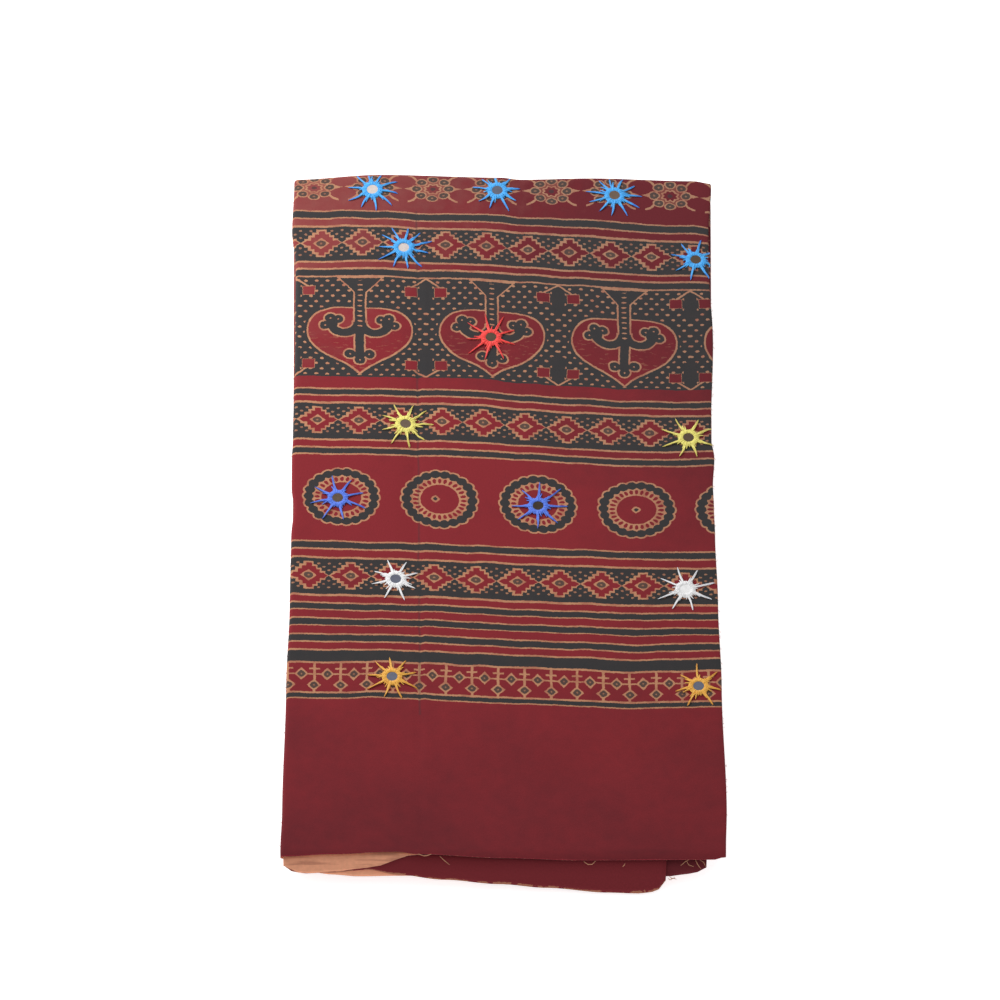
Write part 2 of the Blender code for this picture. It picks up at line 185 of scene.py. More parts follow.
# Mirror work
MIRRORS_MM = [
    # across, along, rays, turn in degrees, reach, thread, glass
    (-88.0, 544.4, 10, 27.0, 17.0, "azure", "bright"),
    (-3.8, 545.9, 9, 14.0, 16.0, "azure", "slate"),
    (75.2, 542.8, 11, 3.0, 17.0, "azure", "foxed"),
    (-66.8, 495.9, 11, 17.0, 17.5, "azure", "bright"),
    (129.6, 489.0, 8, 34.0, 17.0, "azure", "umber"),
    (-8.0, 422.3, 9, 20.0, 18.0, "scarlet", "umber"),
    (-65.1, 349.5, 9, 36.0, 17.5, "lemon", "foxed"),
    (123.9, 337.7, 8, 25.0, 17.5, "lemon", "umber"),
    (-110.2, 287.6, 8, 16.0, 18.5, "royal", "umber"),
    (23.4, 280.9, 8, 43.0, 18.5, "royal", "dark"),
    (-71.3, 220.1, 8, 17.0, 16.5, "white", "slate"),
    (121.3, 211.8, 8, 20.0, 18.0, "white", "white"),
    (-73.5, 139.6, 9, 12.0, 17.0, "amber", "slate"),
    (129.5, 131.8, 7, 43.0, 17.0, "amber", "slate"),
]
THREAD_HEX = {
    # thread: lit strands, shaded strands
    "azure": ("4cb6fa", "2f78dc"),
    "scarlet": ("ff4a44", "d8302e"),
    "lemon": ("fbf183", "d2bd58"),
    "royal": ("5f88f4", "4467cc"),
    "white": ("ffffff", "eceef4"),
    "amber": ("ffc250", "dd9630"),
}
GLASSES = {
    # glass: colour, how much of it is mirror and not dull foxing. Where little of it is mirror, the pale
    # colour is not foxing but a painted glint of the light
    # A pale, mostly dull glass: a painted glint of the light in place of a reflection
    "bright": ("e2d6d0", 0.2),
    # A flat white, unsilvered glass: a painted glint of the light in place of a reflection
    "white": ("ffffff", 0.0),
    "foxed": ("94806f", 0.85),
    "umber": ("766454", 0.85),
    "dark": ("4e443e", 0.85),
    "slate": ("868ea4", 0.85),
}

# The print, by distance from the hem: black stripes between buff lines, on red
STRIPES_MM = [
    # buff from, black from, black to, buff to
    (132.0, 133.0, 136.4, 137.9), (161.3, 162.9, 171.8, 173.2), (178.5, 179.7, 184.8, 186.1),
    (192.4, 193.2, 198.1, 199.3), (205.2, 206.2, 210.9, 212.2), (217.2, 219.0, 248.4, 250.0),
    (255.8, 257.2, 262.2, 263.4), (335.0, 336.3, 340.7, 342.1), (347.0, 348.4, 377.6, 379.3),
    (384.0, 385.3, 389.6, 390.9), (400.5, 400.5, 483.4, 484.6), (484.6, 484.6, 489.6, 491.2),
    (495.5, 497.0, 524.3, 526.0), (531.0, 532.1, 537.3, 538.4),
]
CLOTH_LENGTH_MM = 2238.0
HEM_AT_MM = 7.6


def from_hex(text):
    """An sRGB hex colour as linear values with alpha."""
    values = [int(text[k:k + 2], 16) / 255 for k in (0, 2, 4)]
    linear = [v / 12.92 if v <= 0.04045 else ((v + 0.055) / 1.055) ** 2.4 for v in values]
    return (*linear, 1.0)


def colour_property(name, description, text):
    """A colour setting, from its sRGB hex value."""
    return FloatVectorProperty(
        name=name, description=description, size=4, subtype="COLOR", default=from_hex(text))


def length_property(name, description, default):
    """A length setting, in metres."""
    return FloatProperty(name=name, description=description, default=default, unit="LENGTH")


class AjrakhClothSettings(bpy.types.PropertyGroup):
    """Sizes and colours of the printed cloth."""

    sheet: length_property("Cloth thickness", "Thickness of the cotton sheet", 0.5 * MM)
    rumple: length_property("Rumple", "Height of the soft wrinkles of the top layer", 0.35 * MM)
    madder: colour_property("Madder", "Red ground of the print", "8a2d33")
    # In the print this colour is painted shade, darker toward the plain end and a back corner, mixed with
    # uneven dye; on the reverse and the cut edge it is the madder's own deeper red
    deep_and_shaded_madder: colour_property("Deep madder", "Heavier red of the plain end", "6a292f")
    # A painted sheen: the lighter, warmer red where raking light falls on the back left corner
    painted_sheen: colour_property("Faded madder", "Red where light has worn it", "9a5c55")
    black: colour_property("Iron black", "Black of the print", "37383a")
    buff: colour_property("Buff", "Lines kept clear of dye", "c28b6a")
    reverse: colour_property("Reverse", "Back of the cloth", "efa886")
    # On the print this colour is a painted highlight, a brighter red line along the turned hem; it is also
    # the loose yarn's own red
    edge: colour_property("Hem edge", "Turned edge of the hem", "98303a")
    strays: IntProperty(name="Loose fibres", description="Short fibres along each edge", default=70, min=0)


class AjrakhMirrorSettings(bpy.types.PropertyGroup):
    """Sizes of the mirror work."""

    strand: length_property("Strand", "Width of one embroidery strand", 0.95 * MM)
    stitches: IntProperty(name="Stitches", description="Stitches round each mirror", default=40, min=12)


class AjrakhStageSettings(bpy.types.PropertyGroup):
    """Floor, light and camera."""

    floor: colour_property("Floor", "Colour of the floor", "f7f7f7")
    key: FloatProperty(name="Key light", description="Power of the soft light", default=8.6, min=0.0)
    lens: FloatProperty(name="Lens", description="Focal length of the camera, in mm", default=756.0)


# The folds


def soft_step(t):
    """A smooth rise from 0 to 1."""
    t = min(max(t, 0.0), 1.0)
    return t * t * (3.0 - 2.0 * t)


def read_table(table, at, column=1):
    """The value of a column, in metres, eased between the rows of a table in millimetres."""
    at = at / MM
    if at <= table[0][0]:
        return table[0][column] * MM
    for low, high in zip(table, table[1:]):
        if at <= high[0]:
            share = soft_step((at - low[0]) / (high[0] - low[0]))
            return (low[column] + share * (high[column] - low[column])) * MM
    return table[-1][column] * MM


def fold_centres(along):
    """Where the lengthwise folds turn, left and right."""
    return read_table(EDGES_MM, along, 1) + TOP_OUT, read_table(EDGES_MM, along, 2) - INNER_TURN - SOLID_HALF


def fold_lengthwise(stretch, share, along, out):
    """A point of the quarter fold: its place across, and its height in the strip."""
    left, right = fold_centres(along)
    turn = math.pi * share
    if stretch == "under":
        start = right - OUTER_SELVEDGE_SHORT
        return start + share * (left - start), -OUTER_TURN - out
    if stretch == "outer_turn":
        radius = OUTER_TURN + out
        return left - radius * math.sin(turn), -radius * math.cos(turn)
    if stretch == "face":
        return left + share * (right - left), OUTER_TURN + out
    if stretch == "right_turn":
        radius = INNER_TURN + out
        return right + radius * math.sin(turn), PLY_PITCH + radius * math.cos(turn)
    if stretch == "back":
        return right + share * (left - right), INNER_TURN - out
    if stretch == "inner_turn":
        radius = INNER_TURN - out
        return left - radius * math.sin(turn), radius * math.cos(turn)
    end = right - INNER_SELVEDGE_SHORT
    return left + share * (end - left), -INNER_TURN + out


def fold_crosswise(along, height):
    """A point of the back-and-forth fold: its place from front to back, and its height."""
    if along < 0.0:
        angle = min(-along / DROOP_RADIUS, DROOP_ANGLE)
        straight = max(-along - DROOP_RADIUS * DROOP_ANGLE, 0.0)
        radius = DROOP_RADIUS + height
        y = -radius * math.sin(angle) - straight * math.cos(angle)
        z = STRIP_CENTRES[0] - DROOP_RADIUS + radius * math.cos(angle) - straight * math.sin(angle)
        return y, z
    part = 0
    while part < len(STRETCHES) - 1 and along > STRETCHES[part]:
        along -= STRETCHES[part]
        part += 1
    strip = part // 2
    facing_up = 1 if strip % 2 == 0 else -1
    back_y = TOP_LENGTH if strip == 0 else LOWER_BACK_Y
    if part % 2 == 0:
        start = (0.0, TOP_LENGTH, FRONT_FOLD_Y, LOWER_BACK_Y)[strip]
        return start + facing_up * along, STRIP_CENTRES[strip] + facing_up * height
    centre_z = (STRIP_CENTRES[strip] + STRIP_CENTRES[strip + 1]) / 2
    radius = TURN_RADIUS + facing_up * height
    angle = along / TURN_RADIUS
    centre_y = back_y if facing_up == 1 else FRONT_FOLD_Y
    return centre_y + facing_up * radius * math.sin(angle), centre_z + radius * math.cos(angle)


def swell(x, y):
    """How much taller the stack stands here, as a share of its height."""
    rise = 0.0
    for across, along, half_length, half_width, turn, height in SWELLS_MM:
        dx = x / MM - across
        dy = y / MM - along
        cos_t = math.cos(math.radians(turn))
        sin_t = math.sin(math.radians(turn))
        lengthwise = (dx * cos_t + dy * sin_t) / half_length
        sideways = (dy * cos_t - dx * sin_t) / half_width
        rise += height * math.exp(-lengthwise * lengthwise - sideways * sideways)
    return 1.0 + rise * MM / STACK_HEIGHT


def place(stretch, share, along, out):
    """Folds a point of the flat cloth into the stack. Out is the distance from the mid sheet to its face."""
    x, height = fold_lengthwise(stretch, share, along, out)
    y, z = fold_crosswise(along, height)
    weight = soft_step((y - BACK_LINE_START) / (TOP_LENGTH - BACK_LINE_START))
    y += weight * read_table(BACK_LINE_MM, x)
    return Vector((x, y, z * swell(x, y))) + ORIGIN_SHIFT


def hem_reach(stretch, x):
    """How far the cloth reaches past the start of the droop, at a point across it."""
    tables = {"under": UNDER_HEM_MM, "face": FACE_HEM_MM, "back": BACK_HEM_MM, "flap": FLAP_HEM_MM}
    if stretch in tables:
        return read_table(tables[stretch], x)
    turns = {"outer_turn": FACE_HEM_MM[0], "right_turn": FACE_HEM_MM[-1], "inner_turn": FLAP_HEM_MM[0]}
    return turns[stretch][1] * MM


def stack_shift():
    """Brings the folds to the solid: its left edge and its front flap say where the origin is."""
    left = min(row[1] for row in EDGES_MM) * MM
    low_flap = max(FLAP_HEM_MM, key=lambda row: row[1])
    front, _ = fold_crosswise(-low_flap[1] * MM, -INNER_TURN - SOLID_HALF)
    return Vector((CLOTH_BOX[0][0] - left, CLOTH_BOX[0][1] - front, 0.0))


ORIGIN_SHIFT = stack_shift()


def width_before(stretch, share, along):
    """Distance across the flat cloth, counted so that the top layer's is its place across."""
    left, right = fold_centres(along)
    span = right - left
    outer = math.pi * OUTER_TURN
    inner = math.pi * INNER_TURN
    starts = {
        "under": (left - outer - (span - OUTER_SELVEDGE_SHORT), span - OUTER_SELVEDGE_SHORT),
        "outer_turn": (left - outer, outer),
        "face": (left, span),
        "right_turn": (right, inner),
        "back": (right + inner, span),
        "inner_turn": (right + inner + span, inner),
        "flap": (right + 2 * inner + span, span - INNER_SELVEDGE_SHORT),
    }
    start, length = starts[stretch]
    return start + share * length


def print_point(stretch, share, along, reach):
    """Where a point lies on the print, in millimetres: across, and up from the hem's edge."""
    across = width_before(stretch, share, along) / MM
    up = along / MM
    if stretch in ("face", "outer_turn", "right_turn"):
        first = TOP_LENGTH / MM
        turned = min(max(up - first, 0.0), TURN_LENGTH / MM)
        up += turned * TOP_OUT / TURN_RADIUS
    up = max(up, 0.0)
    drifts = [(at, read_table(DRIFT_MM, across * MM, k) / MM) for k, at in enumerate(DRIFT_AT_MM, start=1)]
    drift = read_table(drifts, up * MM) / MM
    if along < 0.0:
        return across, (HEM_AT_MM + drift) * (1.0 + along / reach)
    return across, up + HEM_AT_MM + drift


# Making pieces


def add_object(name, data):
    """An object in the scene that shows the data."""
    added = bpy.data.objects.new(name, data)
    bpy.context.scene.collection.objects.link(added)
    return added


def finish_piece(name, bm, materials):
    """Writes a bmesh to an object."""
    mesh = bpy.data.meshes.new(name)
    bm.to_mesh(mesh)
    bm.free()
    for material in materials:
        mesh.materials.append(material)
    return add_object(name, mesh)


def stations(parts):
    """Columns across the cloth, from stretches and their spans."""
    columns = []
    for stretch, spans in parts:
        first = 0 if not columns else 1
        columns += [(stretch, k / spans) for k in range(first, spans + 1)]
    return columns


def rows_along(droop, spans):
    """Rows along the cloth: negative shares of the droop, then distances from its start."""
    rows = [-1.0 + k / droop for k in range(droop)]
    start = 0.0
    for length, count in zip(STRETCHES, spans):
        rows += [start + length * k / count for k in range(count)]
        start += length
    return rows + [start]


def rumple(point, along, height):
    """Soft wrinkles of the top layer, which die out at its edges."""
    x = point.x / MM
    y = along / MM
    fade = soft_step((136.0 - abs(x)) / 22.0) * soft_step((540.0 - y) / 30.0) * soft_step((y + 4.0) / 24.0)
    broad = noise.noise(Vector((x / 46.0, y / 90.0, 0.3)))
    fine = noise.noise(Vector((x / 15.0, y / 34.0, 7.1)))
    pressed = 0.0
    for across, lean, width, depth in CREASES_MM:
        off = (x - across - lean * y) / width
        pressed += depth * math.exp(-off * off)
    return fade * (height * (0.6 + broad + 0.45 * fine) + pressed * MM)


def fold_sheet(name, columns, rows, keep, materials, rumple_height):
    """A sheet of the cloth: a grid whose points go through both folds, with its print map."""
    bm = bmesh.new()
    across = len(columns) - 1
    along = len(rows) - 1
    bmesh.ops.create_grid(bm, x_segments=across, y_segments=along, size=0.5)
    unwanted = []
    for face in bm.faces:
        middle = face.calc_center_median()
        column = columns[math.ceil((middle.x + 0.5) * across)]
        row = rows[math.ceil((middle.y + 0.5) * along)]
        if not keep(column[0], row):
            unwanted.append(face)
    bmesh.ops.delete(bm, geom=unwanted, context="FACES")
    prints = {}
    for vert in bm.verts:
        stretch, share = columns[round((vert.co.x + 0.5) * across)]
        row = rows[round((vert.co.y + 0.5) * along)]
        x, _ = fold_lengthwise(stretch, share, 0.0, 0.0)
        reach = hem_reach(stretch, x)
        if row < 0.0:
            row *= reach
        prints[vert] = print_point(stretch, share, row, reach)
        vert.co = place(stretch, share, row, SOLID_HALF)
        if stretch == "face" and row < TOP_LENGTH:
            vert.co.z += rumple(vert.co, row, rumple_height)
    print_map = bm.loops.layers.uv.new("Print")
    for face in bm.faces:
        face.smooth = True
        for loop in face.loops:
            loop[print_map].uv = prints[loop.vert]
    return finish_piece(name, bm, materials)


# Materials


class Field:
    """A value that shader nodes work out. Sums and comparisons with it add Math nodes."""

    def __init__(self, socket):
        self.socket = socket
        self.tree = socket.id_data

    def math(self, operation, *others):
        """The result of a Math node that starts from this value."""
        return node(self.tree, operation, self, *others)

    def __rsub__(self, other):
        return node(self.tree, "SUBTRACT", other, self)

    __add__ = __radd__ = partialmethod(math, "ADD")
    __sub__ = partialmethod(math, "SUBTRACT")
    __mul__ = __rmul__ = partialmethod(math, "MULTIPLY")
    __truediv__ = partialmethod(math, "DIVIDE")
    __mod__ = partialmethod(math, "MODULO")
    __lt__ = partialmethod(math, "LESS_THAN")
    __gt__ = partialmethod(math, "GREATER_THAN")
    __abs__ = partialmethod(math, "ABSOLUTE")


def feed(socket, value):
    """Links a field to an input, or sets the input to a plain value. None leaves it alone."""
    if isinstance(value, Field):
        value.tree.links.new(value.socket, socket)
    elif value is not None:
        socket.default_value = value


def node(tree, kind, *inputs, output=0, **settings):
    """Adds a node with its settings and links. A kind that is no node's type is the sum of a Math node."""
    is_type = kind.startswith("ShaderNode")
    added = tree.nodes.new(kind if is_type else "ShaderNodeMath")
    if not is_type:
        added.operation = kind
    for key, value in settings.items():
        setattr(added, key, value)
    for socket, value in zip(added.inputs, inputs):
        feed(socket, value)
    return Field(added.outputs[output])


def split(field, kind="XYZ"):
    """The three parts of a place or a colour."""
    parts = node(field.tree, "ShaderNodeSeparate" + kind, field).socket.node
    return [Field(socket) for socket in parts.outputs]


def smallest(first, *others):
    """The smallest of several values. Shapes given by their distances join."""
    for other in others:
        first = first.math("MINIMUM", other)
    return first


def largest(first, *others):
    """The largest of several values. Shapes given by their distances are cut to what they share."""
    for other in others:
        first = first.math("MAXIMUM", other)
    return first


def clamp(value, low=0.0, high=1.0):
    """The value kept between two others."""
    return smallest(largest(value, low), high)


def between(value, low, high):
    """1 where a value lies between two others."""
    return (value > low) * (value < high)


def around(value, half):
    """The value wrapped into a range round 0."""
    return value.math("WRAP", half, -half)


def repeat(value, start, pitch):
    """Signed distance from the nearest of a row of centres."""
    return around(value - start, pitch / 2)


def clouds(at, scale, detail, output="Fac"):
    """Soft noise."""
    return node(at.tree, "ShaderNodeTexNoise", at, None, scale, detail, output=output)


def mix(share, first, second):
    """Two colours mixed, with the share of the second."""
    return node(share.tree, "ShaderNodeMixRGB", share, first, second)


class Print:
    """The print's colour, as each ink is laid over those before it."""

    def __init__(self, inks, ground):
        self.inks = inks
        self.colour = inks[ground]

    def lay(self, ink, *masks):
        """Lays an ink where every mask is 1."""
        self.colour = mix(math.prod(masks[1:], start=masks[0]), self.colour, self.inks[ink])


def from_centre(x, y):
    """Distance from the origin."""
    return (x * x + y * y).math("SQRT")


def disc(x, y, centre_x, centre_y, radius):
    """Signed distance to a disc, negative inside."""
    return from_centre(x - centre_x, y - centre_y) - radius


def block(x, y, centre_x, centre_y, half_x, half_y):
    """Distance to an upright block, negative inside, square at its corners."""
    return largest(abs(x - centre_x) - half_x, abs(y - centre_y) - half_y)


def draw_stripes(lay, x, up):
    """The cross stripes, each colour laid over the one before from its own start."""
    for starts in STRIPES_MM:
        for ink, start in zip("bkbr", starts):
            lay(ink, up > start)


# How much black covers a small seed, and buff its pip
SEED_INK = 0.88
PIP_INK = 0.6

LOZENGE_BARS_MM = [
    # half width, lower edge, upper edge
    (0.85, 137.0, 161.5), (3.6, 156.0, 157.4), (4.4, 151.6, 152.8),
]
LOZENGE_ROWS_MM = [
    # pitches aside, middle, half width, half height
    (0.0, 152.2, 4.5, 5.3), (0.5, 143.4, 4.9, 4.8),
]


def draw_lozenges(lay, x, up):
    """The narrow border of small lozenges, with their stems and cross bars."""
    pitch = 17.4
    first = -133.6
    stem_x = abs(repeat(x, first + pitch / 2, pitch))
    bars = [(stem_x < half) * between(up, low, high) for half, low, high in LOZENGE_BARS_MM]
    lay("b", largest(*bars))
    for pitches, middle, wide, tall in LOZENGE_ROWS_MM:
        across = abs(repeat(x, first + pitches * pitch, pitch))
        y = abs(up - middle)
        spread = across / wide + y / tall
        seed = spread * 2.0 + from_centre(across, y) / 2.0
        lay("b", spread < 1.0)
        lay("k", (seed < 2.6) * SEED_INK)
        lay("b", (spread < 0.16) * PIP_INK)


DIAMOND_ROWS_MM = [
    # middle, first centre
    (234.4, -129.3), (364.0, -124.3), (511.6, -122.3),
]
DIAMOND_STEPS_MM = [
    # half height, half width
    (3.5, 11.4), (6.2, 8.7), (8.7, 6.1), (11.3, 3.4),
]


def diamond(x, y, pitch):
    """Distance to a stepped diamond whose pointed sides just meet the next one's, negative inside."""
    across = abs(around(x, pitch / 2))
    stairs = [block(across, y, 0.0, 0.0, wide, tall) for tall, wide in DIAMOND_STEPS_MM]
    slope = 1.3
    overlap = 0.2
    point = largest(across + y * slope - (pitch / 2 + overlap), y - DIAMOND_STEPS_MM[0][0])
    return smallest(*stairs, point)


def draw_diamonds(lay, x, up):
    """The three rows of stepped diamonds on black. The red block was set down a little to the right."""
    pitch = 27.8
    dash_pitch = pitch / 8
    dash_rise = 2.8
    dash_ink = 0.7
    seed_ink = 0.85
    red_aside = 0.45
    red_inset = 1.35
    for middle, first in DIAMOND_ROWS_MM:
        y = abs(up - middle)
        across = abs(repeat(x, first, pitch))
        row = y < 4 * dash_rise + 0.6
        level = (y / dash_rise).math("FLOOR")
        stagger = (level + 1.0) % 2.0 * dash_pitch
        dash_x = around(across - pitch / 2 + stagger, dash_pitch)
        dash_y = y - (level + 0.5) * dash_rise
        dash = from_centre(dash_x / 1.05, dash_y / 0.75) < 1.0
        core = across / 5.6 + y / 4.6
        seed = from_centre(across / 3.2, y / 2.4)
        lay("b", row, dash * dash_ink)
        lay("b", row, diamond(x - first, y, pitch) < 0.0)
        lay("r", row, diamond(x - first - red_aside, y, pitch) < -red_inset)
        lay("b", core < 1.0)
        lay("k", (seed < 1.0) * seed_ink)
        lay("b", (seed < 0.25) * PIP_INK)


def draw_rings(lay, x, up):
    """The row of beaded rings on red, each with a chain of links inside."""
    first = -107.6
    pitch = 65.5
    middle = 299.4
    tilt = 0.006
    narrowing = 0.975
    flattening = 1.05
    bead_at = 21.5
    bead_radius = 3.3
    cord_half = 2.0
    outline = 1.15
    link_at = 15.8
    link_half_width = 1.15
    link_half_length = 1.95
    chain_inside = 12.8
    bead_turn = math.pi / 22
    link_turn = math.pi / 28
    across = repeat(x, first, pitch) * narrowing
    y = (up - (middle - x * tilt)) * flattening
    radius = from_centre(across, y)
    angle = y.math("ARCTAN2", across)
    outward = radius - bead_at
    bead = from_centre(around(angle, bead_turn) * bead_at, outward) - bead_radius
    band = smallest(bead, abs(outward) - cord_half)
    link_x = around(angle, link_turn) * link_at / link_half_width
    link = from_centre(link_x, (radius - link_at) / link_half_length)
    pip_x = repeat(x, -112.0, 66.9)
    pip = abs(pip_x) + abs(y) + from_centre(pip_x, y)
    lay("b", between(radius, chain_inside, bead_at))
    lay("b", band < outline)
    lay("k", band < 0.0)
    lay("r", link < 1.0)
    lay("b", pip < 6.2)
    lay("k", pip < 3.2)


HEART_WIDTHS_MM = [
    # up from the tip, half width
    (0.0, 0.0), (6.4, 7.2), (11.1, 14.7), (15.8, 22.6), (21.6, 29.5), (28.6, 33.9), (36.8, 35.4),
    (44.0, 34.6), (48.9, 32.0), (52.5, 28.0), (54.8, 22.5), (56.0, 15.0), (56.6, 0.0),
]
HEART_TIP_MM = 402.4
HEART_PITCH_MM = 88.7
HEART_FIRST_MM = -96.0
HEART_BAND_MM = (400.5, 483.4)
ANCHOR_DISCS_MM = [
    # across, up, radius
    (19.8, 449.2, 3.6), (14.2, 448.2, 3.2), (23.4, 443.4, 3.4), (18.4, 444.6, 3.6),
    (6.5, 419.4, 3.6), (0.0, 414.4, 3.5), (0.0, 419.0, 3.8),
]
ANCHOR_PIPS_MM = [
    # across, up
    (19.8, 449.2), (14.4, 448.2), (23.4, 443.4), (6.4, 419.2), (0.0, 414.2),
]
BUDS_MM = [
    # middle of the red squares, top of the roof, way that the roof falls
    (472.4, 483.4, 1.0), (410.6, 400.6, -1.0),
]


def heart_width(rise):
    """Half the width of a heart, at a height above its tip."""
    tallest = 60.0
    widest = 40.0
    curve = node(rise.tree, "ShaderNodeFloatCurve", 1.0, rise / tallest)
    mapping = curve.socket.node.mapping
    line = mapping.curves[0]
    line.points[1].location = (1.0, 0.0)
    for height, width in HEART_WIDTHS_MM[1:]:
        line.points.new(height / tallest, width / widest)
    for point in line.points:
        point.handle_type = "AUTO_CLAMPED"
    mapping.update()
    return curve * widest


def draw_heart_ground(lay, signed, between_x, up):
    """The staggered dashes of the black band, kept off the buds."""
    dash_pitch = 3.65
    dash_rise = 4.35
    level = (up / dash_rise).math("FLOOR")
    dash_x = around(signed + level % 2.0 * dash_pitch, dash_pitch)
    dash_y = up - (level + 0.5) * dash_rise
    dash = from_centre(dash_x / 1.25, dash_y / 0.9) < 1.0
    bud_half_width = 4.4
    beyond_hearts = abs(up - 442.0) > 18.0
    on_bud = (between_x < bud_half_width) * beyond_hearts
    lay("b", between(up, 402.0, 482.6), dash, 1.0 - on_bud)


def draw_anchor(lay, signed, across, up):
    """The black anchor of each heart: a column, a stem, two hooked arms and round lobes."""
    column_half = 3.5
    column_foot = 436.0
    funnel_from = 470.5
    outline = 1.15
    arm_top = 446.0
    arm_half = 3.0
    band = between(up, *HEART_BAND_MM)
    funnel = largest(up - funnel_from, 0.0) * 0.88 + column_half
    column = largest(across - funnel, column_foot - up)
    stem = block(across, up, 0.0, 428.0, 2.9, 11.0)
    arm = largest(abs(disc(across, up, 10.4, 446.2, 9.2)) - arm_half, up - arm_top)
    anchor = smallest(column, stem, arm, *(disc(across, up, *spot) for spot in ANCHOR_DISCS_MM))
    pip = smallest(*(disc(across, up, *spot, 0.6) for spot in ANCHOR_PIPS_MM))
    rung_y = repeat(up, 443.0, 4.2) / 0.62
    rung = from_centre(signed / 1.7, rung_y) < 1.0
    inside = column < -1.3
    lay("b", band, anchor < outline)
    lay("k", band, anchor < 0.0)
    lay("b", pip < 0.0)
    lay("b", rung, inside, between(up, 441.0, 480.6))
    lay("b", between(up, 482.3, 484.0), across < 15.8)


def draw_buds(lay, between_x, up):
    """The buds between the hearts, each under a roof line with a red square at either side."""
    roof_slope = 0.75
    roof_half = 0.8
    roof_reach = 10.5
    band = between(up, 400.5, 484.0)
    for square_y, roof_y, way in BUDS_MM:
        roof = abs((roof_y - up) * way - between_x * roof_slope)
        square = block(between_x, up, 10.0, square_y, 4.3, 3.9)
        lay("b", band, roof < roof_half, between_x < roof_reach)
        lay("b", square < 0.0)
        lay("r", square < -0.3)


def draw_hearts(lay, x, up):
    """The broad black band of hearts. Each is laid three times: its black edge, its buff line, its red."""
    signed = repeat(x, HEART_FIRST_MM, HEART_PITCH_MM)
    across = abs(signed)
    between_x = abs(repeat(x, HEART_FIRST_MM + HEART_PITCH_MM / 2, HEART_PITCH_MM))
    draw_heart_ground(lay, signed, between_x, up)
    draw_buds(lay, between_x, up)
    rise = up - HEART_TIP_MM
    for grow, ink in ((1.5, "k"), (0.0, "b"), (-1.0, "r")):
        outermost = largest if grow > 0.0 else smallest
        edge = outermost(heart_width(rise + grow), heart_width(rise - grow)) + grow
        inside = between(rise, 0.2, 56.5 + grow) * (across < edge)
        lay(ink, inside)
    streak_at = node(x.tree, "ShaderNodeCombineXYZ", x * 0.3, up, 0.0)
    streak = clouds(streak_at, 0.55, 2.0) > 0.62
    lay("b", inside, streak * 0.22, up < 440.0)
    draw_anchor(lay, signed, across, up)


def draw_flowers(lay, x, up):
    """Rows of round flowers on red, each of eight black seeds, with buff tendrils between them."""
    pitch = 40.0
    half_rise = 21.5
    petals = 8
    seed_at = 10.6
    hoop_radius = 11.2
    hoop_half = 0.75
    across = repeat(x, -127.4, pitch)
    wide = abs(across)
    rise = around(up - x * 0.015 - 559.3, half_rise)
    y = rise * 1.45
    radius = from_centre(across, y)
    angle = y.math("ARCTAN2", across)
    field = up > 541.5
    seed = from_centre(around(angle, math.pi / petals) * seed_at, radius - seed_at)
    ragged = radius + (angle * petals).math("COSINE") * 0.6
    hoop = abs(disc(wide, rise, pitch / 2, 0.0, hoop_radius))
    tendril = (hoop < hoop_half) * (wide < pitch / 2 - 3.2)
    thorn = ((19.5 - wide) * 0.25 - abs(rise) > 0.0) * (wide > 12.0)
    lay("b", field, largest(tendril, thorn))
    lay("b", field, (radius < 9.6) * 0.25)
    lay("b", field, seed < 4.0)
    lay("k", field, (seed < 3.0) * SEED_INK)
    lay("b", field, (seed < 0.8) * PIP_INK)
    lay("b", field, ragged < 5.8)
    lay("r", field, ragged < 4.4)
    lay("k", field, (radius < 1.8) * 0.7)


SWAYS_MM = [
    # noise scale, detail, reach
    (0.045, 2.0, 2.2), (0.4, 2.0, 0.8), (2.2, 1.0, 0.9),
]


def wandering(print_map):
    """The place on the print, swayed as hand blocks sway and ragged where the dye creeps along the yarn."""
    swayed = split(print_map)[:2]
    for scale, detail, reach in SWAYS_MM:
        shifts = split(clouds(print_map, scale, detail, "Color"), "Color")
        for k in (0, 1):
            swayed[k] = swayed[k] + (shifts[k] - 0.5) * reach
    return swayed


def weave_bump(place_at, unit):
    """Plain weave. Real yarn lies 0.4 mm apart, too fine to show, so it is drawn wider, with slubs."""
    drawn_pitch = 1.5
    turn = math.tau / (drawn_pitch * unit)
    warp, weft = ((axis * turn).math("SINE") for axis in split(place_at)[:2])
    relief = warp * weft * 0.22 + clouds(place_at, 0.6 / unit, 3.0)
    return node(relief.tree, "ShaderNodeBump", 0.35, 0.25 * MM, None, relief)


def drive(material, **values):
    """The material, with its shader's inputs fed by their names with underscores."""
    shader = material.node_tree.nodes["Principled BSDF"]
    for name, value in values.items():
        feed(shader.inputs[name.replace("_", " ")], value)
    return material


def new_material(name, roughness, specular=0.25, sheen=0.0, metallic=0.0):
    """A material with its constant finish, and the helper that adds its nodes."""
    material = bpy.data.materials.new(name)
    material.use_nodes = True
    drive(material, Roughness=roughness, Specular_IOR_Level=specular, Metallic=metallic)
    drive(material, Sheen_Weight=sheen, Sheen_Roughness=0.6)
    return material, partial(node, material.node_tree)


def mottled(colour, place_at, scale, low, high):
    """The colour, made unevenly lighter and darker."""
    shade = low + clouds(place_at, scale, 5.0) * (high - low)
    grey = node(shade.tree, "ShaderNodeCombineColor", shade, shade, shade)
    return node(shade.tree, "ShaderNodeMixRGB", 1.0, colour, grey, blend_type="MULTIPLY")


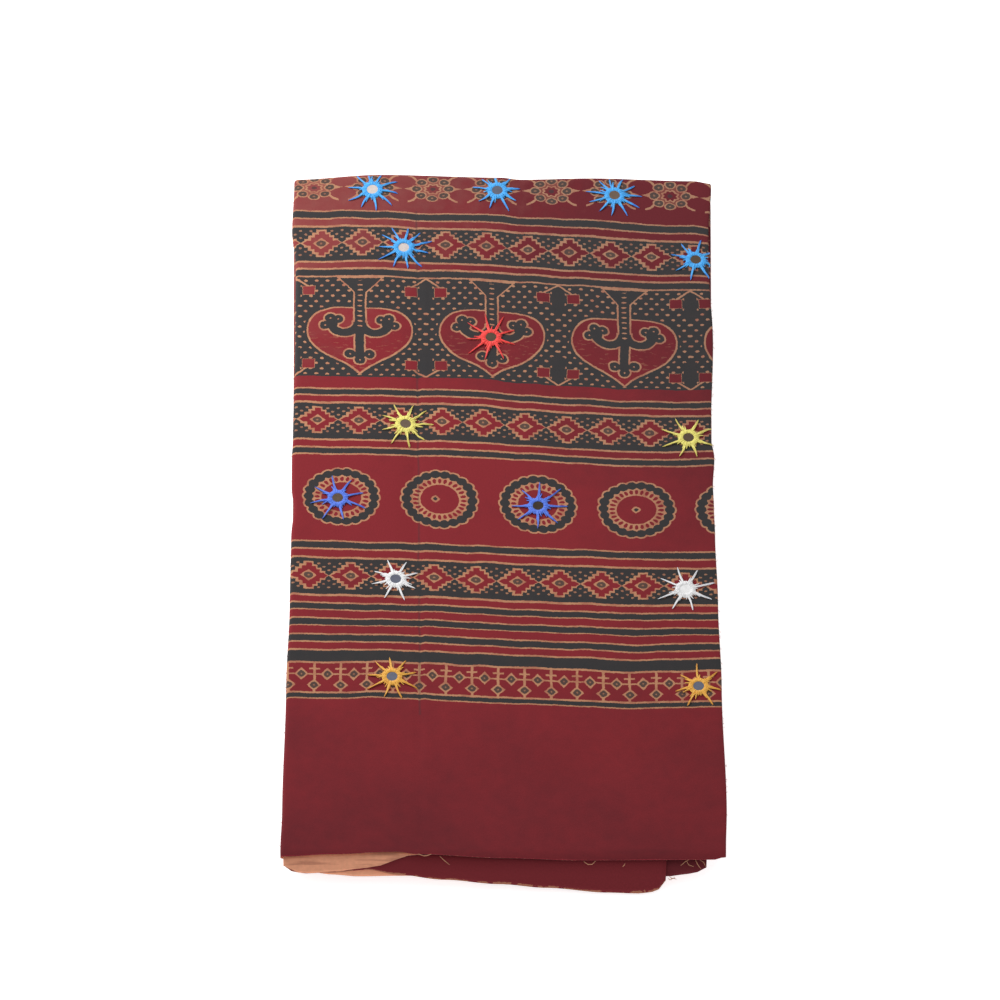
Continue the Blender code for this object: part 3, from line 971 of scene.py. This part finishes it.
# Where the madder's painted shade starts on the print, toward the plain end and toward the back right
# corner, and where its painted sheen starts at the back left corner, with over how many millimetres each
# grows. Then the most painted sheen, and the most wear of the buff
PAINTED_SHADE_END_MM = (200.0, 300.0)
PAINTED_SHADE_CORNER_MM = (310.0, 260.0)
SHEEN_CORNER_MM = (520.0, 340.0)
MOST_SHEEN = 0.5
MOST_WORN = 0.35

# The layers past this place across are the inner ones. Then the width of the line along the hem's edge, a
# painted highlight on the outer layers and frayed yarn on the inner ones, and the painted shade in a crease
INNER_PAST_MM = 150.0
HEM_LINE_MM = 0.8
SHADE_HALF_MM = 1.1
SHADE_SPAN_MM = (120.0, 540.0)


def mix_inks(settings, x, up, print_map):
    """The inks. Madder has painted shade toward the plain end and a back corner, mixed with uneven dye, and
    a painted sheen at the other back corner. Buff has painted shade toward that first corner, and is worn.
    The inner layers get less of the painted shade, which paints them lighter.
    """
    cloud = clouds(print_map, 0.016, 5.0)
    grain = clouds(print_map, 0.12, 4.0)
    inner = abs(x) > INNER_PAST_MM
    # Painted shade: darker toward the plain end at the hem, and toward the back right corner
    shade_toward_end = clamp((PAINTED_SHADE_END_MM[0] - up) / PAINTED_SHADE_END_MM[1])
    shade_toward_corner = clamp((up + x - PAINTED_SHADE_CORNER_MM[0]) / PAINTED_SHADE_CORNER_MM[1])
    uneven = (cloud - 0.5) * 1.2 + (grain - 0.5) * 0.6
    # The painted shade with uneven dye. The inner layers lie in shade, so less of it paints them lighter
    painted_shade_and_uneven_dye = clamp(shade_toward_end + shade_toward_corner + uneven) * (1.0 - inner * 0.45)
    # Painted sheen toward the back left corner, broken up by the grain
    painted_sheen = clamp((up - x - SHEEN_CORNER_MM[0]) / SHEEN_CORNER_MM[1] + (grain - 0.5) * 0.5, 0.0, MOST_SHEEN)
    worn = clamp((grain - 0.45) * 1.8, 0.0, MOST_WORN)
    madder = mix(painted_shade_and_uneven_dye, settings.madder, settings.deep_and_shaded_madder)
    # Painted shade on the buff: greyer and darker toward the back right corner
    buff_in_painted_shade = mix(shade_toward_corner * 0.5, settings.buff, from_hex("8f6f60"))
    inks = {
        "r": mix(painted_sheen, madder, settings.painted_sheen),
        "k": mix(grain * 0.03, settings.black, settings.buff),
        "b": mix(worn, buff_in_painted_shade, settings.madder),
        "edge": settings.edge,
        "yarn": settings.buff,
        "shade": settings.black,
    }
    return inks, inner, grain


def printed_cotton(settings):
    """Block-printed cotton: matt and dry, with the print's buff lines wandering and its dyes uneven, and
    with painted shade and painted sheen in its inks, a painted highlight along the hem and painted shade in
    a crease.
    """
    material, n = new_material("block_printed_cotton", 0.9, specular=0.1)
    print_map = n("ShaderNodeUVMap", uv_map="Print")
    x, up = wandering(print_map)
    half = CLOTH_LENGTH_MM / 2
    up = half - abs(up - half)
    inks, inner, grain = mix_inks(settings, x, up, print_map)
    cotton = Print(inks, "r")
    for draw in (draw_stripes, draw_lozenges, draw_diamonds, draw_rings, draw_hearts, draw_flowers):
        draw(cotton.lay, x, up)
    # A brighter red line along the hem of the outer layers: a painted highlight on the turned hem
    cotton.lay("edge", up < HEM_LINE_MM, 1.0 - inner)
    frayed = inner * (grain > 0.46) * 0.55
    cotton.lay("yarn", up < HEM_LINE_MM, frayed)
    across, lean, _, _ = CREASES_MM[0]
    crease = clamp(1.0 - abs(x - up * lean - across) / SHADE_HALF_MM)
    cotton.lay("shade", crease * 0.42, between(up, *SHADE_SPAN_MM))
    colour = mottled(cotton.colour, print_map, 0.9, 0.88, 1.12)
    return drive(material, Base_Color=colour, Normal=weave_bump(print_map, 1.0))


def reverse_cotton(settings):
    """The back of the cotton, where the dyes come through unevenly: pale buff clouded with madder."""
    material, n = new_material("cotton_reverse", 0.92, specular=0.1)
    place_at = n("ShaderNodeTexCoord", output="Object")
    x, y, z = split(place_at)
    spread = (x + 45.0 * MM) / (40.0 * MM) + (clouds(place_at, 60.0, 4.0) - 0.5) * 2.2
    along_hem = n("ShaderNodeCombineXYZ", x * 34.0, y * 330.0, z * 330.0)
    streak = (clouds(along_hem, 1.0, 3.0) - 0.5) * 2.4
    seep = largest(clamp(spread), clamp(streak, 0.0, 0.4))
    colour = mottled(mix(seep, settings.reverse, settings.deep_and_shaded_madder), place_at, 400.0, 0.85, 1.15)
    return drive(material, Base_Color=colour, Normal=weave_bump(place_at, MM))


def hem_edge(settings):
    """The cut edge of the cotton: dull madder with pale yarn ends."""
    material, n = new_material("cotton_hem_edge", 0.9, sheen=0.1)
    place_at = n("ShaderNodeTexCoord", output="Object")
    pale = (clouds(place_at, 900.0, 2.0) > 0.6) * 0.7
    colour = mottled(mix(pale, settings.deep_and_shaded_madder, settings.buff), place_at, 120.0, 0.75, 1.2)
    return drive(material, Base_Color=colour, Normal=weave_bump(place_at, MM))


def floss(thread):
    """Untwisted silk floss: soft gloss along the strands, with painted light and shade: its lit and shaded
    colours mixed in streaks along the fibres, with more painted shade past 7 mm from the middle, toward the
    ray tips.
    """
    material, n = new_material(f"silk_floss_{thread}", 0.5, specular=0.35, sheen=0.15)
    lit, shaded = (from_hex(text) for text in THREAD_HEX[thread])
    radius, angle, _ = split(n("ShaderNodeUVMap", uv_map="Strand"))
    fibre = clouds(n("ShaderNodeCombineXYZ", radius * 0.35, angle * 7.0, 0.0), 1.0, 3.0)
    # Painted shade: the shaded colour grows past this radius, and in streaks from the fibre noise, which
    # also gives the bump
    shade_from_radius = 7.0
    depth = clamp(largest(radius - shade_from_radius, 0.0) * 0.08 + (fibre - 0.5) * 2.4)
    bump = n("ShaderNodeBump", 0.4, 0.2 * MM, None, fibre)
    return drive(material, Base_Color=mix(depth, lit, shaded), Normal=bump)


def mirror_glass(silver):
    """Old silvered glass cut by hand: sharp gloss over foxed, uneven silvering. A glass with little
    silvering is mostly its flat pale colour, a painted glint of the light.
    """
    tint, silvering = GLASSES[silver]
    material, n = new_material(f"silvered_glass_{silver}", 0.16, specular=0.5, metallic=silvering)
    place_at = n("ShaderNodeTexCoord", output="Object")
    cloud = clouds(place_at, 260.0, 4.0)
    colour = mix(cloud * (0.1 + 0.4 * silvering), from_hex(tint), from_hex("6b5648"))
    colour = mottled(colour, place_at, 420.0, 0.8, 1.2)
    bump = n("ShaderNodeBump", 0.3, 0.3 * MM, None, cloud)
    return drive(material, Base_Color=colour, Roughness=0.1 + cloud * 0.25, Normal=bump)


def loose_yarn(settings):
    """Loose cotton yarn at the edges: fuzzy and dry, madder and buff by turns, and buff at the front."""
    material, n = new_material("loose_cotton_yarn", 0.95, sheen=0.2)
    place_at = n("ShaderNodeTexCoord", output="Object")
    at_front = split(place_at)[1] < CLOTH_BOX[0][1] + 30.0 * MM
    pale = largest(clouds(place_at, 45.0, 2.0) > 0.5, at_front)
    colour = mottled(mix(pale, settings.edge, settings.buff), place_at, 700.0, 0.8, 1.2)
    return drive(material, Base_Color=colour)


# Thread work


def lay_on_face(across, along, height, rumple_height):
    """A point just above the top layer. Past the right-hand fold it goes round it."""
    if along > TOP_LENGTH:
        along = TOP_LENGTH + (along - TOP_LENGTH) * TURN_RADIUS / (TURN_RADIUS + TOP_OUT)
    left, right = fold_centres(along)
    out = SOLID_HALF + height
    if across > right:
        share = min((across - right) / (math.pi * (INNER_TURN + out)), 1.0)
        return place("right_turn", share, along, out)
    point = place("face", (across - left) / (right - left), along, out)
    if along < TOP_LENGTH:
        point.z += rumple(point, along, rumple_height)
    return point


def new_yarn(name, width):
    """A curve whose strands have a round section."""
    curve = bpy.data.curves.new(name, "CURVE")
    curve.dimensions = "3D"
    curve.bevel_depth = width / 2
    curve.bevel_resolution = 1
    curve.use_fill_caps = True
    return curve


def add_strand(curve, points, thick=1.0, closed=False):
    """One strand through the points, a little thinner at its ends."""
    spline = curve.splines.new("POLY")
    spline.points.add(len(points) - 1)
    spline.use_cyclic_u = closed
    for k, point in enumerate(points):
        spline.points[k].co = (*point, 1.0)
        end = not closed and k in (0, len(points) - 1)
        spline.points[k].radius = thick * (0.6 if end else 1.0)


def yarn_mesh(name, curve, material):
    """Turns the strands into a mesh object."""
    draft = add_object(name + "_draft", curve)
    mesh = bpy.data.meshes.new_from_object(draft.evaluated_get(bpy.context.evaluated_depsgraph_get()))
    bpy.data.objects.remove(draft, do_unlink=True)
    mesh.name = name
    mesh.materials.clear()
    mesh.materials.append(material)
    mesh.shade_smooth()
    return add_object(name, mesh)


# A rosette, in millimetres from its middle and above the cloth
OPENING_MM = 3.6
HUB_MM = 6.2
RINGS_MM = [
    # radius, height, thickness in strands
    (4.2, 0.85, 1.1), (5.1, 0.85, 1.4), (6.2, 0.6, 1.4),
]
RING_POINTS = 24
RAY_SPREAD_MM = (-0.5, 0.0, 0.5)
RAY_POINTS = 6
SHORTEST_RAY = 9.3 * MM
RAYS_END = TOP_LENGTH + 2.0 * MM


def ray_reach(along, angle, reach):
    """The reach of one ray, drawn in where it would run over the back turn."""
    if math.sin(angle) > 0:
        reach = min(reach, (RAYS_END - along) / math.sin(angle))
    return max(reach, SHORTEST_RAY)


def stitch_rosette(name, row, settings, rumple_height, chance):
    """One mirror's ring of floss stitches and its rays."""
    across, along, rays, turn, reach, thread, _ = row
    across *= MM
    along *= MM
    curve = new_yarn(name, settings.strand)

    def at(radius, angle, height, aside=0.0):
        x = across + radius * math.cos(angle) - aside * math.sin(angle)
        y = along + radius * math.sin(angle) + aside * math.cos(angle)
        return lay_on_face(x, y, height * MM, rumple_height)

    for radius, height, thick in RINGS_MM:
        circle = [at(radius * MM, math.tau * k / RING_POINTS, height) for k in range(RING_POINTS)]
        add_strand(curve, circle, thick, closed=True)
    for k in range(settings.stitches):
        angle = math.tau * (k + chance.uniform(-0.3, 0.3)) / settings.stitches
        swing = chance.uniform(-0.08, 0.08)
        toward = 0.5 + 0.5 * math.cos(rays * (angle - math.radians(turn)))
        end = 6.6 + 4.6 * toward ** 1.6 + chance.uniform(-0.5, 0.7)
        lift = chance.uniform(-0.2, 0.2)
        path = ((3.65, 1.0), (4.5, 1.25 + lift), (5.6, 1.15 + lift), (0.5 * (5.6 + end), 0.85), (end, 0.3))
        points = [at(r * MM, angle + swing * (r - OPENING_MM) / 4.0, h) for r, h in path]
        add_strand(curve, points, chance.uniform(0.85, 1.1))
    for ray in range(rays):
        angle = math.radians(turn) + math.tau * ray / rays + chance.uniform(-0.08, 0.08)
        length = ray_reach(along, angle, (reach + chance.uniform(-1.8, 2.6)) * MM)
        bend = chance.uniform(-0.5, 0.5)
        for strand, spread in enumerate(RAY_SPREAD_MM):
            stop = length - (strand % 2) * chance.uniform(-0.8, 3.0) * MM - strand * 0.4 * MM
            wobble = chance.uniform(-0.18, 0.18)
            points = []
            for k in range(RAY_POINTS):
                share = k / (RAY_POINTS - 1)
                radius = HUB_MM * MM + share * (stop - HUB_MM * MM)
                bow = bend * math.sin(math.pi * share) + wobble * math.sin(5.0 * share + strand)
                aside = spread * (1.0 - 0.7 * share) + bow
                points.append(at(radius, angle, 0.95 - 0.65 * share + 0.1 * strand, aside * MM))
            add_strand(curve, points, 0.72)
    obj = yarn_mesh(name, curve, floss(thread))
    strand_map = obj.data.uv_layers.new(name="Strand")
    middle = lay_on_face(across, along, 0.0, rumple_height)
    for loop in obj.data.loops:
        away = obj.data.vertices[loop.vertex_index].co - middle
        strand_map.data[loop.index].uv = (away.length / MM, math.atan2(away.y, away.x))
    return obj


# The stage, in metres. Mirrors and rings show at 0.8 of their width, which gives the camera its elevation
FLOOR_HALF = 20.0
FLOOR_GLOW = 0.8
SKY_STRENGTH = 0.53
KEY_SIZE = 0.6
KEY_AT = Vector((-0.62, 0.62, 0.7))
KEY_AIM = Vector((0.0, 0.1, 0.0))
CAMERA_ELEVATION = math.atan2(0.8, 0.6)
CAMERA_AIM = Vector((-0.0024, 0.01688, 0.02044))
CAMERA_AWAY = 14.0
CAMERA_CLIP = 60.0


# Operators


class AJRAKH_OT_cloth(bpy.types.Operator):
    """Fold and print the cloth"""

    bl_idname = "ajrakh.cloth"
    bl_label = "Cloth"

    def execute(self, context):
        settings = context.scene.ajrakh_cloth
        materials = [printed_cotton(settings), reverse_cotton(settings), hem_edge(settings)]
        top_end = TOP_LENGTH + TURN_LENGTH
        top = fold_sheet(
            "cloth_face",
            stations((("outer_turn", 10), ("face", 96), ("right_turn", 8))),
            rows_along(10, (186, 12)),
            lambda stretch, row: True,
            materials,
            settings.rumple,
        )
        layers = fold_sheet(
            "cloth_layers",
            stations((("under", 48), ("outer_turn", 8), ("face", 24), ("right_turn", 6), ("back", 32),
                      ("inner_turn", 6), ("flap", 56))),
            rows_along(10, (48, 10, 40, 10, 40, 10, 40)),
            lambda stretch, row: stretch not in ("outer_turn", "face", "right_turn") or row > top_end + 1e-6,
            materials,
            settings.rumple,
        )
        for piece in (top, layers):
            thicken = piece.modifiers.new("thickness", "SOLIDIFY")
            thicken.thickness = settings.sheet
            thicken.offset = -1.0
            thicken.material_offset = 1
            thicken.material_offset_rim = 2
            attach(piece, "root")
            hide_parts("cloth")
        return {"FINISHED"}


class AJRAKH_OT_mirrors(bpy.types.Operator):
    """Silver the mirrors"""

    bl_idname = "ajrakh.mirrors"
    bl_label = "Mirrors"

    def execute(self, context):
        glass = {silver: mirror_glass(silver) for silver in GLASSES}
        for number, row in enumerate(MIRRORS_MM, start=1):
            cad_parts[f"mirror_{number:02d}"].data.materials[0] = glass[row[6]]
        return {"FINISHED"}


class AJRAKH_OT_rosettes(bpy.types.Operator):
    """Stitch the rosettes round the mirrors"""

    bl_idname = "ajrakh.rosettes"
    bl_label = "Rosettes"

    def execute(self, context):
        scene = context.scene
        chance = random.Random(7)
        for number, row in enumerate(MIRRORS_MM, start=1):
            name = f"rosette_{number:02d}"
            stitches = f"{name}_stitches"
            piece = stitch_rosette(stitches, row, scene.ajrakh_mirrors, scene.ajrakh_cloth.rumple, chance)
            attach(piece, "root")
            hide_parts(name)
        return {"FINISHED"}


class AJRAKH_OT_strays(bpy.types.Operator):
    """Leave loose fibres on the edges"""

    bl_idname = "ajrakh.strays"
    bl_label = "Loose fibres"

    def execute(self, context):
        settings = context.scene.ajrakh_cloth
        chance = random.Random(3)
        curve = new_yarn("loose_fibres", FIBRE_WIDTH)
        for stretch, share in (("outer_turn", 0.5), ("right_turn", 0.5)):
            for _ in range(settings.strays):
                along = chance.uniform(0.0, TOP_LENGTH)
                length = chance.uniform(0.8, 2.6) * MM
                lean = chance.uniform(-1.0, 1.0)
                points = []
                for k in range(4):
                    out = SOLID_HALF + FIBRE_LIFT + 0.45 * length * k / 3
                    points.append(place(stretch, share + 0.1 * lean, along + lean * length * k / 3, out))
                add_strand(curve, points, chance.uniform(0.7, 1.0))
        left, right = fold_centres(0.0)
        for depth, *ends in YARN_ENDS_MM:
            points = []
            for x, past in ends:
                point = place("face", (x * MM - left) / (right - left), -past * MM, SOLID_HALF - depth * MM)
                point.z = max(point.z, YARN_LOW) + YARN_LIFT
                points.append(point)
            add_strand(curve, points, YARN_THICK)
        fibres = yarn_mesh("loose_fibres", curve, loose_yarn(settings))
        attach(fibres, "root")
        return {"FINISHED"}


class AJRAKH_OT_stage(bpy.types.Operator):
    """Set the floor, the light and the camera"""

    bl_idname = "ajrakh.stage"
    bl_label = "Stage"

    def execute(self, context):
        scene = context.scene
        settings = scene.ajrakh_stage
        bm = bmesh.new()
        bmesh.ops.create_grid(bm, x_segments=1, y_segments=1, size=FLOOR_HALF)
        material, _ = new_material("matt_white_floor", 0.95)
        white = settings.floor
        drive(material, Base_Color=white, Emission_Color=white, Emission_Strength=FLOOR_GLOW)
        finish_piece("floor", bm, [material])
        scene.world = bpy.data.worlds.new("studio")
        scene.world.use_nodes = True
        background = scene.world.node_tree.nodes["Background"].inputs
        background["Color"].default_value = (1.0, 1.0, 1.0, 1.0)
        background["Strength"].default_value = SKY_STRENGTH
        key = bpy.data.lights.new("soft_key", "AREA")
        key.shape = "DISK"
        key.size = KEY_SIZE
        key.energy = settings.key
        lamp = add_object("soft_key", key)
        lamp.location = KEY_AT
        lamp.rotation_euler = (KEY_AIM - KEY_AT).to_track_quat("-Z", "Y").to_euler()
        camera = bpy.data.cameras.new("camera")
        camera.lens = settings.lens
        camera.sensor_width = 36.0
        camera.clip_end = CAMERA_CLIP
        stand = add_object("camera", camera)
        rise = math.sin(CAMERA_ELEVATION)
        stand.location = CAMERA_AIM + CAMERA_AWAY * Vector((0.0, -math.cos(CAMERA_ELEVATION), rise))
        stand.rotation_euler = (math.pi / 2 - CAMERA_ELEVATION, 0.0, 0.0)
        scene.camera = stand
        scene.view_settings.view_transform = "Standard"
        return {"FINISHED"}


OPERATORS = (AJRAKH_OT_cloth, AJRAKH_OT_mirrors, AJRAKH_OT_rosettes, AJRAKH_OT_strays, AJRAKH_OT_stage)


class AJRAKH_PT_panel(bpy.types.Panel):
    """The steps that dress the cloth"""

    bl_label = "Ajrakh cloth"
    bl_idname = "AJRAKH_PT_panel"
    bl_space_type = "VIEW_3D"
    bl_region_type = "UI"
    bl_category = "Ajrakh"

    def draw(self, context):
        for operator in OPERATORS:
            self.layout.operator(operator.bl_idname)


SETTINGS = {
    "ajrakh_cloth": AjrakhClothSettings,
    "ajrakh_mirrors": AjrakhMirrorSettings,
    "ajrakh_stage": AjrakhStageSettings,
}
CLASSES = (*SETTINGS.values(), *OPERATORS, AJRAKH_PT_panel)


def register():
    for cls in CLASSES:
        bpy.utils.register_class(cls)
    for name, group in SETTINGS.items():
        setattr(bpy.types.Scene, name, PointerProperty(type=group))


def unregister():
    for name in SETTINGS:
        delattr(bpy.types.Scene, name)
    for cls in reversed(CLASSES):
        bpy.utils.unregister_class(cls)


def main():
    register()
    bpy.ops.ajrakh.cloth()
    bpy.ops.ajrakh.mirrors()
    bpy.ops.ajrakh.rosettes()
    bpy.ops.ajrakh.strays()
    bpy.ops.ajrakh.stage()


if __name__ == "__main__":
    main()
